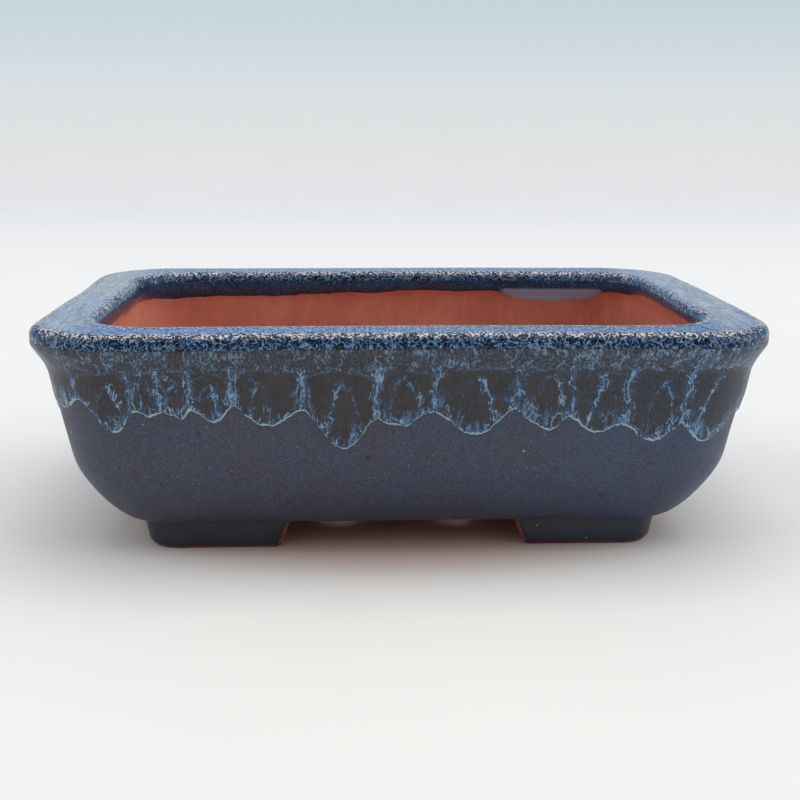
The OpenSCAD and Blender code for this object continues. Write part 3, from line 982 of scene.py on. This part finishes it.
def rounded_outline(corners, radii, steps):
    """An anticlockwise outline with each corner rounded, and points along its sides."""
    points = []
    count = len(corners)
    for i in range(count):
        here, before, after = (np.array(corners[j % count]) for j in (i, i - 1, i + 1))
        to_before = (before - here) / np.linalg.norm(before - here)
        to_after = (after - here) / np.linalg.norm(after - here)
        centre = here + radii[i] * (to_before + to_after)
        first, last = -to_after, -to_before
        for part in np.linspace(0, math.pi / 2, steps):
            points.append(centre + radii[i] * (first * math.cos(part) + last * math.sin(part)))
    return np.array(points)


def foot_outline(height, shrink, box_low, box_high):
    """The foot's outline at a height, as if it stood in the +X +Y corner."""
    down = 1 - height / UNDERSIDE
    out_x, out_y = box_high[0] - FOOT_END_DRAFT * down - shrink, box_high[1] - shrink
    in_x, in_y = box_low[0] + FOOT_DRAFT * down + shrink, box_low[1] + FOOT_DRAFT * down + shrink
    leg_x, leg_y = box_high[0] - FOOT_LEG + shrink, box_high[1] - FOOT_LEG + shrink
    corners = [
        (in_x, leg_y), (leg_x, leg_y), (leg_x, in_y),
        (out_x, in_y), (out_x, out_y), (in_x, out_y),
    ]
    radii = [0.7, 1.2, 0.7, 0.7, FOOT_CORNER, 0.7]
    return rounded_outline(corners, radii, ROUND_STEPS)


def build_foot(side, end):
    """One L-shaped clay foot and its coat. side and end are the signs of its x and y."""
    name = f"foot_{'front' if end < 0 else 'back'}_{'left' if side < 0 else 'right'}"
    low, high = (np.abs([v.x / MM, v.y / MM]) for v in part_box(name))
    box_low, box_high = np.minimum(low, high), np.maximum(low, high)
    rim = 0.9
    rows = []
    for height in (0, 0.06, 0.2, 0.45, rim, 1.6, 2.6, 3.8, 5.2, UNDERSIDE + 0.3):
        shrink = rim - math.sqrt(rim**2 - max(0, rim - height) ** 2)
        outline = foot_outline(min(height, UNDERSIDE), shrink, box_low, box_high)
        rows.append(np.column_stack([outline, np.full(len(outline), height)]))
    rows = np.array(rows)
    quads = grid_quads(rows.shape[0], rows.shape[1], False, True)
    count = rows.shape[1]
    caps = [np.arange(count)[::-1], np.arange(count) + count * (len(rows) - 1)]
    flip = side * end < 0
    faces = [face[::-1] if flip else face for face in [*quads, *caps]]
    vertices = rows.reshape(-1, 3) * (side, end, 1)
    new_piece(f"{name}_clay", vertices, faces, CLAY, [name])
    build_foot_coat(name.replace("foot_", "foot_glaze_"), side, end, box_low, box_high)


def build_foot_coat(name, side, end, box_low, box_high):
    """Glaze on the outer faces, from one inner end round the corner to the other."""
    levels = np.array([0, 0.06, 0.15, 0.35, 0.7, *np.linspace(1.2, UNDERSIDE - BARE_LINE + 0.2, 9)])
    outer, inner = [], []
    for part in levels:
        outline = foot_outline(min(BARE_LINE + part, UNDERSIDE), 0, box_low, box_high)
        # From the end of the fourth rounded corner to the start of the last.
        path = along(outline[4 * ROUND_STEPS - 1 : 5 * ROUND_STEPS + 1], 0.5)
        places = np.linspace(0, len(path) - 1, COAT_COLUMNS)
        path = np.stack([np.interp(places, np.arange(len(path)), path[:, k]) for k in (0, 1)], 1)
        tangent = np.gradient(path, axis=0)
        tangent /= np.linalg.norm(tangent, axis=1)[:, None]
        out = np.stack([tangent[:, 1], -tangent[:, 0]], 1)
        from_end = np.minimum(np.arange(COAT_COLUMNS), np.arange(COAT_COLUMNS)[::-1])
        ends = 1 - np.exp(-from_end / 1.2)
        thickness = BASE_COAT * (1 - math.exp(-part / 0.25)) * ends - 0.05 * (part == 0)
        wavy = 0.5 * (cloud(path[:, 0] / 3 + side * 9, path[:, 1] / 3 + end * 7, 91) - 0.5)
        level = BARE_LINE + part + wavy * (1 - part / levels[-1])
        outer.append(np.column_stack([path + out * thickness[:, None], level]))
        inner.append(np.column_stack([path - out * 0.2, level]))
    points = np.array(outer + inner[::-4]) * (side, end, 1)
    if side * end < 0:
        points = points[:, ::-1]
    sweep(name + "_coat", points, FOOT, [name], closed=False)


build_walls()
build_base_glaze()
build_run_glaze()
build_lip_glaze()
build_inner_glaze()
build_floor()
for side in (-1, 1):
    for end in (-1, 1):
        build_foot(side, end)


# ---- stage, lights and camera ----


def build_stage():
    """A pale floor that curves up into a pale blue backdrop, with a patch under the pot of red clay
    dust and painted reddish shade.
    """
    look = Look("pale_paper", Specular_IOR_Level=0.1)
    rise = look.axis("Z")
    # The patch of dust and painted shade is wider than deep, and its middle lies 10 mm in front of
    # the pot's.
    from_dust_and_shade = look.nodes.new("ShaderNodeVectorMath")
    from_dust_and_shade.operation = "ADD"
    from_dust_and_shade.inputs[1].default_value = (0, 0.01, 0)
    look.put(from_dust_and_shade.inputs[0], look.scaled(0.7, 1, 1))
    away = look.nodes.new("ShaderNodeVectorMath")
    away.operation = "LENGTH"
    look.put(away.inputs[0], from_dust_and_shade.outputs[0])
    dust_and_painted_shade = look.step(away.outputs["Value"], 0.056, 0.028)
    paper = look.mix(look.noise(60, 2), colour(235, 235, 234), colour(239, 239, 238))
    # Red clay dust and painted reddish shade darken the floor under and in front of the pot.
    paper = look.mix(dust_and_painted_shade, paper, colour(220, 192, 182))
    # The upright part glows evenly instead of taking the light.
    base = look.mix(look.step(rise, 0.0, 0.12), paper, colour(0, 0, 0))
    glow = look.mix(look.step(rise, 0.0, 0.09), colour(231, 232, 231), colour(222, 226, 227))
    glow = look.mix(look.step(rise, 0.06, 0.26), glow, colour(196, 212, 220))
    glow = look.mix(look.step(rise, 0.26, 0.35), glow, colour(68, 122, 186))
    glow = look.mix(look.step(rise, 0.75, 1.3), glow, colour(225, 232, 238))
    look.put(look.shader.inputs["Emission Color"], glow)
    look.put(look.shader.inputs["Emission Strength"], look.step(rise, 0.0, 0.12))
    look.finish(base, 0.9, look.bump(look.noise(0.8, 2), 0.02))
    front, back, tall, half, radius = -1.6, 0.9, 2.4, 2.2, 0.6
    turn = np.linspace(0, math.pi / 2, 24)
    profile = [(front, 0.0)]
    profile += [(back + radius * math.sin(t), radius * (1 - math.cos(t))) for t in turn]
    profile.append((back + radius, tall))
    vertices = [(x, y, z) for y, z in profile for x in (-half, half)]
    faces = [(2 * i, 2 * i + 1, 2 * i + 3, 2 * i + 2) for i in range(len(profile) - 1)]
    mesh = bpy.data.meshes.new("backdrop")
    mesh.from_pydata(vertices, [], faces)
    mesh.shade_smooth()
    mesh.materials.append(look.material)
    backdrop = bpy.data.objects.new("backdrop", mesh)
    bpy.context.scene.collection.objects.link(backdrop)


def build_light():
    """Soft light from a wide patch of sky overhead, fills from both sides and a dim room."""
    world = bpy.data.worlds.new("soft_room")
    world.use_nodes = True
    world.node_tree.nodes["Background"].inputs["Color"].default_value = (1.0, 0.98, 0.96, 1)
    world.node_tree.nodes["Background"].inputs["Strength"].default_value = 0.36
    bpy.context.scene.world = world
    for name, energy, spread, turn in (
        # energy, angular size and turns about X, Y and Z, in degrees
        ("overhead", 1.2, 54, (-1, 4, 0)),
        ("left_fill", 0.82, 60, (5, -58, 0)),
        ("right_fill", 1.0, 60, (5, 58, 0)),
    ):
        light = bpy.data.lights.new(name, "SUN")
        light.energy = energy
        light.angle = math.radians(spread)
        light.color = (1.0, 0.985, 0.965)
        lamp = bpy.data.objects.new(name, light)
        lamp.rotation_euler = [math.radians(angle) for angle in turn]
        bpy.context.scene.collection.objects.link(lamp)


def build_camera():
    """Placed and turned as fitted to the lip, body and feet of the photographed pot."""
    camera = bpy.data.cameras.new("camera")
    camera.sensor_width = 36
    camera.lens = 55.8
    yaw, down, roll = math.radians(2.84), math.radians(13.2), math.radians(0.28)
    level = math.cos(down)
    ahead = np.array([math.sin(yaw) * level, math.cos(yaw) * level, -math.sin(down)])
    right = np.array([math.cos(yaw), -math.sin(yaw), 0])
    up = np.cross(right, ahead)
    right, up = (
        right * math.cos(roll) + up * math.sin(roll),
        up * math.cos(roll) - right * math.sin(roll),
    )
    place = np.array([-14.4, -312.8, 99.4]) * MM
    matrix = Matrix.Identity(4)
    for column, axis in enumerate((right, up, -ahead, place)):
        for row in range(3):
            matrix[row][column] = axis[row]
    holder = bpy.data.objects.new("camera", camera)
    holder.matrix_world = matrix
    bpy.context.scene.collection.objects.link(holder)
    bpy.context.scene.camera = holder


build_stage()
build_light()
build_camera()
bpy.context.scene.view_settings.view_transform = "Standard"
